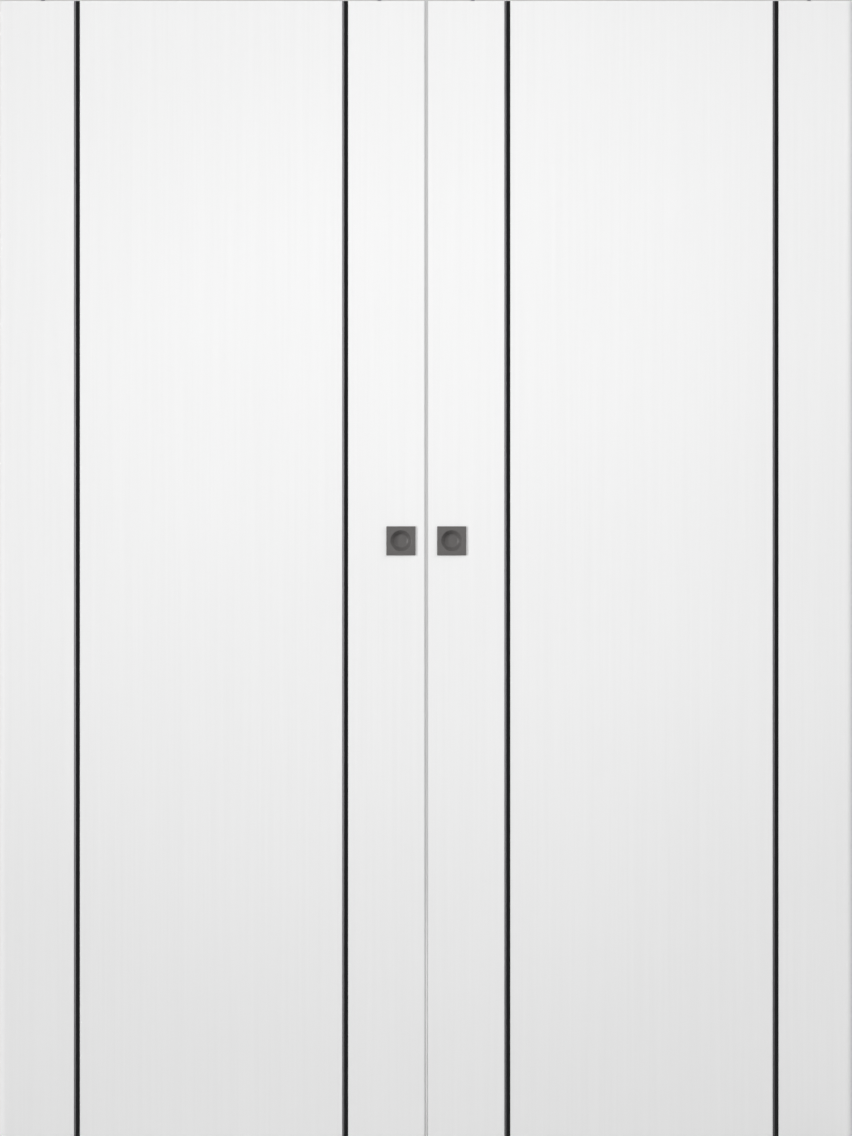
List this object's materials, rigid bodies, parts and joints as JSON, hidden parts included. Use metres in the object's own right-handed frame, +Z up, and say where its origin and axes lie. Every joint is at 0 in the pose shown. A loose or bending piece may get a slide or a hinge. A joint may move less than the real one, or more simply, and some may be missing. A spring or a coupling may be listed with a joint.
{
  "type": "double sliding door",
  "caption": "Pair of white flush door leaves with black upright strips and square finger pulls, hung on a box track so that they slide apart.",
  "frame": {"origin": "on the floor, below the middle of the track, in the middle of the leaves' thickness", "axes": "+X along the track, to the right seen from the front; +Y from the front faces to the back faces; +Z up"},
  "size_m": [2.9172, 0.0466, 2.0878],
  "materials": {
    "white_laminate": "matt white laminate on fibreboard",
    "white_abs": "satin",
    "black_aluminium": "satin black anodised",
    "grey_seal": "matt",
    "graphite_zinc": "satin graphite on die-cast zinc",
    "pine": "planed",
    "chipboard": "sanded",
    "anodised_aluminium": "extruded and anodised",
    "zinc_plated_steel": "zinc plated",
    "black_nylon": "moulded",
    "white_nylon": "turned"
  },
  "bodies": {
    "track_frame": {"head_track": "anodised_aluminium", "left_end_cap": "black_nylon", "right_end_cap": "black_nylon", "left_outer_stop": "black_nylon", "right_outer_stop": "black_nylon", "centre_stop": "black_nylon", "left_floor_guide": "black_nylon", "right_floor_guide": "black_nylon"},
    "left_leaf": {"left_top_rail": "pine", "left_bottom_rail": "pine", "left_meeting_stile": "pine", "left_outer_stile": "pine", "left_core": "chipboard", "left_front_skin": "white_laminate", "left_back_skin": "white_laminate", "left_front_inner_strip": "black_aluminium", "left_front_outer_strip": "black_aluminium", "left_back_inner_strip": "black_aluminium", "left_back_outer_strip": "black_aluminium", "left_outer_edge_band": "white_abs", "left_meeting_seal": "grey_seal", "left_front_pull": "graphite_zinc", "left_back_pull": "graphite_zinc", "left_guide_channel": "anodised_aluminium", "left_inner_hanger_plate": "zinc_plated_steel", "left_outer_hanger_plate": "zinc_plated_steel", "left_inner_hanger_bolt": "zinc_plated_steel", "left_outer_hanger_bolt": "zinc_plated_steel", "left_inner_trolley": "zinc_plated_steel", "left_outer_trolley": "zinc_plated_steel"},
    "right_leaf": {"right_top_rail": "pine", "right_bottom_rail": "pine", "right_meeting_stile": "pine", "right_outer_stile": "pine", "right_core": "chipboard", "right_front_skin": "white_laminate", "right_back_skin": "white_laminate", "right_front_inner_strip": "black_aluminium", "right_front_outer_strip": "black_aluminium", "right_back_inner_strip": "black_aluminium", "right_back_outer_strip": "black_aluminium", "right_outer_edge_band": "white_abs", "right_meeting_seal": "grey_seal", "right_front_pull": "graphite_zinc", "right_back_pull": "graphite_zinc", "right_guide_channel": "anodised_aluminium", "right_inner_hanger_plate": "zinc_plated_steel", "right_outer_hanger_plate": "zinc_plated_steel", "right_inner_hanger_bolt": "zinc_plated_steel", "right_outer_hanger_bolt": "zinc_plated_steel", "right_inner_trolley": "zinc_plated_steel", "right_outer_trolley": "zinc_plated_steel"},
    "left_inner_inboard_wheels": {"left_inner_trolley_inboard_wheels": "white_nylon"},
    "left_inner_outboard_wheels": {"left_inner_trolley_outboard_wheels": "white_nylon"},
    "left_outer_inboard_wheels": {"left_outer_trolley_inboard_wheels": "white_nylon"},
    "left_outer_outboard_wheels": {"left_outer_trolley_outboard_wheels": "white_nylon"},
    "right_inner_inboard_wheels": {"right_inner_trolley_inboard_wheels": "white_nylon"},
    "right_inner_outboard_wheels": {"right_inner_trolley_outboard_wheels": "white_nylon"},
    "right_outer_inboard_wheels": {"right_outer_trolley_inboard_wheels": "white_nylon"},
    "right_outer_outboard_wheels": {"right_outer_trolley_outboard_wheels": "white_nylon"}
  },
  "joints": [
    {"name": "left_leaf_slide", "type": "slide", "parent": "track_frame", "child": "left_leaf", "axis": [-1, 0, 0], "range_m": [0, 0.68]},
    {"name": "right_leaf_slide", "type": "slide", "parent": "track_frame", "child": "right_leaf", "axis": [1, 0, 0], "range_m": [0, 0.68]},
    {"name": "left_inner_inboard_roll", "type": "hinge", "parent": "left_leaf", "child": "left_inner_inboard_wheels", "pos_m": [-0.0653, 0, 2.0673], "axis": [0, -1, 0], "continuous": true},
    {"name": "left_inner_outboard_roll", "type": "hinge", "parent": "left_leaf", "child": "left_inner_outboard_wheels", "pos_m": [-0.1013, 0, 2.0673], "axis": [0, -1, 0], "continuous": true},
    {"name": "left_outer_inboard_roll", "type": "hinge", "parent": "left_leaf", "child": "left_outer_inboard_wheels", "pos_m": [-0.6673, 0, 2.0673], "axis": [0, -1, 0], "continuous": true},
    {"name": "left_outer_outboard_roll", "type": "hinge", "parent": "left_leaf", "child": "left_outer_outboard_wheels", "pos_m": [-0.7033, 0, 2.0673], "axis": [0, -1, 0], "continuous": true},
    {"name": "right_inner_inboard_roll", "type": "hinge", "parent": "right_leaf", "child": "right_inner_inboard_wheels", "pos_m": [0.0653, 0, 2.0673], "axis": [0, 1, 0], "continuous": true},
    {"name": "right_inner_outboard_roll", "type": "hinge", "parent": "right_leaf", "child": "right_inner_outboard_wheels", "pos_m": [0.1013, 0, 2.0673], "axis": [0, 1, 0], "continuous": true},
    {"name": "right_outer_inboard_roll", "type": "hinge", "parent": "right_leaf", "child": "right_outer_inboard_wheels", "pos_m": [0.6673, 0, 2.0673], "axis": [0, 1, 0], "continuous": true},
    {"name": "right_outer_outboard_roll", "type": "hinge", "parent": "right_leaf", "child": "right_outer_outboard_wheels", "pos_m": [0.7033, 0, 2.0673], "axis": [0, 1, 0], "continuous": true}
  ],
  "couplings": [
    {"joint": "left_inner_inboard_roll", "follows": "left_leaf_slide", "rad_per_m": 100},
    {"joint": "left_inner_outboard_roll", "follows": "left_leaf_slide", "rad_per_m": 100},
    {"joint": "left_outer_inboard_roll", "follows": "left_leaf_slide", "rad_per_m": 100},
    {"joint": "left_outer_outboard_roll", "follows": "left_leaf_slide", "rad_per_m": 100},
    {"joint": "right_inner_inboard_roll", "follows": "right_leaf_slide", "rad_per_m": 100},
    {"joint": "right_inner_outboard_roll", "follows": "right_leaf_slide", "rad_per_m": 100},
    {"joint": "right_outer_inboard_roll", "follows": "right_leaf_slide", "rad_per_m": 100},
    {"joint": "right_outer_outboard_roll", "follows": "right_leaf_slide", "rad_per_m": 100}
  ]
}
